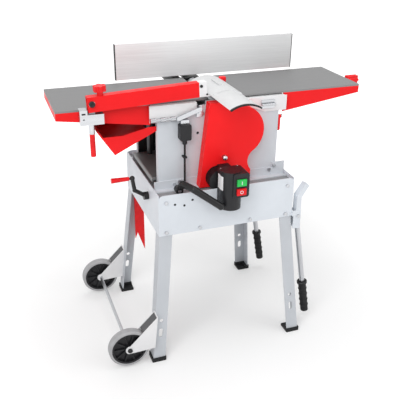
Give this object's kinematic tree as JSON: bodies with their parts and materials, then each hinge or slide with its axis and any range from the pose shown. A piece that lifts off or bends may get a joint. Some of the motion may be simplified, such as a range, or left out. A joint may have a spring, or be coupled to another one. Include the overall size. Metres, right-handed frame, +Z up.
{
  "type": "planer thicknesser",
  "caption": "Combination planer thicknesser: long planing tables with fence and bridge guard over a thicknessing bed, on a wheeled sheet-metal stand.",
  "frame": {"origin": "floor level, at the centre of the whole machine's plan box", "axes": "+X along the tables towards the infeed end, +Y away from the operator, +Z up"},
  "size_m": [1.142, 0.622, 1.062],
  "materials": {
    "sheet_grey": "smooth light grey powder coat",
    "deck_grey": "mid grey powder coat",
    "white_paint": "white powder coat",
    "red_paint": "semi-gloss red paint",
    "red_plastic": "moulded red plastic",
    "green_plastic": "moulded green plastic",
    "black_plastic": "grained black plastic",
    "black_metal": "black satin paint",
    "ground_iron": "ground grey face",
    "aluminium": "brushed anodised extrusion",
    "steel": "bright turned steel",
    "chrome": "bright plating",
    "tyre": "grey rubber tread",
    "rubber": "black rubber"
  },
  "bodies": {
    "frame": {"base_front_panel": "sheet_grey", "base_rear_panel": "sheet_grey", "base_left_panel": "sheet_grey", "base_right_panel": "sheet_grey", "legs": "sheet_grey", "foot_rails": "sheet_grey", "side_plate_front": "sheet_grey", "side_plate_rear": "sheet_grey", "base_deck": "deck_grey", "wheel_brackets": "white_paint", "table_brackets": "white_paint", "outfeed_apron": "red_paint", "chip_hood": "red_paint", "belt_cover": "red_paint", "push_stick": "red_plastic", "motor_housing": "black_plastic", "switch_housing": "black_plastic", "interlock_switch": "black_plastic", "fence_bracket": "black_metal", "outfeed_table": "ground_iron", "bolts": "steel", "wheel_axle": "steel", "frame_bars": "steel", "table_latches": "chrome", "arm_clamp": "chrome", "rubber_feet": "rubber", "drive_belt": "rubber", "interlock_cable": "rubber"},
    "wheel_front": {"rim_front": "black_plastic", "tyre_front": "tyre"},
    "wheel_rear": {"rim_rear": "black_plastic", "tyre_rear": "tyre"},
    "handle_front": {"handle_front": "steel", "grip_front": "rubber"},
    "handle_rear": {"handle_rear": "steel", "grip_rear": "rubber"},
    "bed": {"thickness_table": "ground_iron"},
    "lead_screw": {"lead_screw": "steel"},
    "crank": {"crank_arm": "black_metal", "crank_grip": "red_plastic"},
    "cutter": {"cutter_block": "steel", "planer_knives": "steel"},
    "motor_pulley": {"motor_pulley": "steel"},
    "infeed_roller": {"infeed_roller": "steel"},
    "outfeed_roller": {"outfeed_roller": "steel"},
    "kickback_fingers": {"kickback_fingers": "steel"},
    "start_button": {"start_button": "green_plastic"},
    "stop_button": {"stop_button": "red_plastic"},
    "feed_lever": {"feed_lever": "black_metal"},
    "infeed": {"infeed_table": "ground_iron", "infeed_apron": "red_paint"},
    "depth_knob": {"depth_knob": "red_plastic"},
    "table_lock_lever": {"table_lock_lever": "red_plastic"},
    "latch_arm": {"latch_arm": "chrome"},
    "fence": {"fence_plate": "aluminium"},
    "clamp_lever": {"clamp_lever": "red_plastic"},
    "guard_arm": {"guard_arm": "red_paint", "guard_end": "white_paint"},
    "arm_knob": {"arm_knob": "red_plastic"},
    "guard_bridge": {"guard_bridge": "aluminium"}
  },
  "joints": [
    {"name": "wheel_front_turn", "type": "hinge", "parent": "frame", "child": "wheel_front", "pos_m": [-0.4035, -0.217, 0.082], "axis": [0, 1, 0], "continuous": true},
    {"name": "wheel_rear_turn", "type": "hinge", "parent": "frame", "child": "wheel_rear", "pos_m": [-0.4035, 0.283, 0.082], "axis": [0, 1, 0], "continuous": true},
    {"name": "handle_front_swing", "type": "hinge", "parent": "frame", "child": "handle_front", "pos_m": [0.25, -0.179, 0.488], "axis": [0, -1, 0], "range_deg": [0, 80.5]},
    {"name": "handle_rear_swing", "type": "hinge", "parent": "frame", "child": "handle_rear", "pos_m": [0.25, 0.245, 0.488], "axis": [0, -1, 0], "range_deg": [0, 80.5]},
    {"name": "bed_height", "type": "slide", "parent": "frame", "child": "bed", "axis": [0, 0, 1], "range_m": [0, 0.196]},
    {"name": "lead_screw_turn", "type": "hinge", "parent": "frame", "child": "lead_screw", "pos_m": [-0.21, -0.059, 0.7], "axis": [0, 0, 1], "range_deg": [-1, 17641]},
    {"name": "crank_turn", "type": "hinge", "parent": "frame", "child": "crank", "pos_m": [-0.271, -0.059, 0.589], "axis": [1, 0, 0], "range_deg": [-1, 17641]},
    {"name": "cutter_spin", "type": "hinge", "parent": "frame", "child": "cutter", "pos_m": [-0.031, 0.041, 0.898], "axis": [0, 1, 0], "continuous": true},
    {"name": "motor_spin", "type": "hinge", "parent": "frame", "child": "motor_pulley", "pos_m": [-0.053, -0.116, 0.6655], "axis": [0, 1, 0], "continuous": true},
    {"name": "infeed_roller_spin", "type": "hinge", "parent": "frame", "child": "infeed_roller", "pos_m": [-0.093, 0.041, 0.8805], "axis": [0, 1, 0], "continuous": true},
    {"name": "outfeed_roller_spin", "type": "hinge", "parent": "frame", "child": "outfeed_roller", "pos_m": [0.031, 0.041, 0.8805], "axis": [0, 1, 0], "continuous": true},
    {"name": "kickback_swing", "type": "hinge", "parent": "frame", "child": "kickback_fingers", "pos_m": [-0.123, 0.041, 0.893], "axis": [0, -1, 0], "range_deg": [0, 20]},
    {"name": "start_press", "type": "slide", "parent": "frame", "child": "start_button", "axis": [0, 1, 0], "range_m": [0, 0.004], "stiffness_N_per_m": 400},
    {"name": "stop_press", "type": "slide", "parent": "frame", "child": "stop_button", "axis": [0, 1, 0], "range_m": [0, 0.004], "stiffness_N_per_m": 400},
    {"name": "feed_engage", "type": "hinge", "parent": "frame", "child": "feed_lever", "pos_m": [-0.194, -0.156, 0.641], "axis": [0, 1, 0], "range_deg": [0, 15]},
    {"name": "infeed_depth", "type": "slide", "parent": "frame", "child": "infeed", "axis": [0, 0, 1], "range_m": [-0.004, 0]},
    {"name": "depth_knob_turn", "type": "hinge", "parent": "infeed", "child": "depth_knob", "pos_m": [0.539, 0.019, 0.915], "axis": [1, 0, 0], "range_deg": [-961, 1]},
    {"name": "table_lock", "type": "hinge", "parent": "frame", "child": "table_lock_lever", "pos_m": [0.195, -0.097, 0.842], "axis": [1, 0, 0], "range_deg": [-45, 45]},
    {"name": "fence_across", "type": "slide", "parent": "frame", "child": "fence", "axis": [0, 1, 0], "range_m": [-0.07, 0]},
    {"name": "latch_release", "type": "hinge", "parent": "frame", "child": "latch_arm", "pos_m": [-0.181, -0.12, 0.878], "axis": [0, -1, 0], "range_deg": [0, 15]},
    {"name": "clamp_turn", "type": "hinge", "parent": "frame", "child": "clamp_lever", "pos_m": [-0.464, -0.111, 0.83], "axis": [0, 0, 1], "range_deg": [-90, 90]},
    {"name": "arm_lift", "type": "hinge", "parent": "frame", "child": "guard_arm", "pos_m": [-0.461, -0.11, 0.954], "axis": [0, -1, 0], "range_deg": [0, 60]},
    {"name": "arm_knob_turn", "type": "hinge", "parent": "guard_arm", "child": "arm_knob", "pos_m": [-0.43106, -0.11, 0.97648], "axis": [-0.0487, 0, 0.9988], "continuous": true},
    {"name": "bridge_across", "type": "slide", "parent": "guard_arm", "child": "guard_bridge", "axis": [0, 1, 0], "range_m": [-0.04, 0.065]}
  ],
  "couplings": [
    {"joint": "lead_screw_turn", "follows": "bed_height", "rad_per_m": 1570.8},
    {"joint": "crank_turn", "follows": "bed_height", "rad_per_m": 1570.8},
    {"joint": "motor_spin", "follows": "cutter_spin", "ratio": 0.64286},
    {"joint": "infeed_roller_spin", "follows": "cutter_spin", "ratio": -0.01},
    {"joint": "outfeed_roller_spin", "follows": "cutter_spin", "ratio": -0.01},
    {"joint": "depth_knob_turn", "follows": "infeed_depth", "rad_per_m": 4188.8}
  ]
}
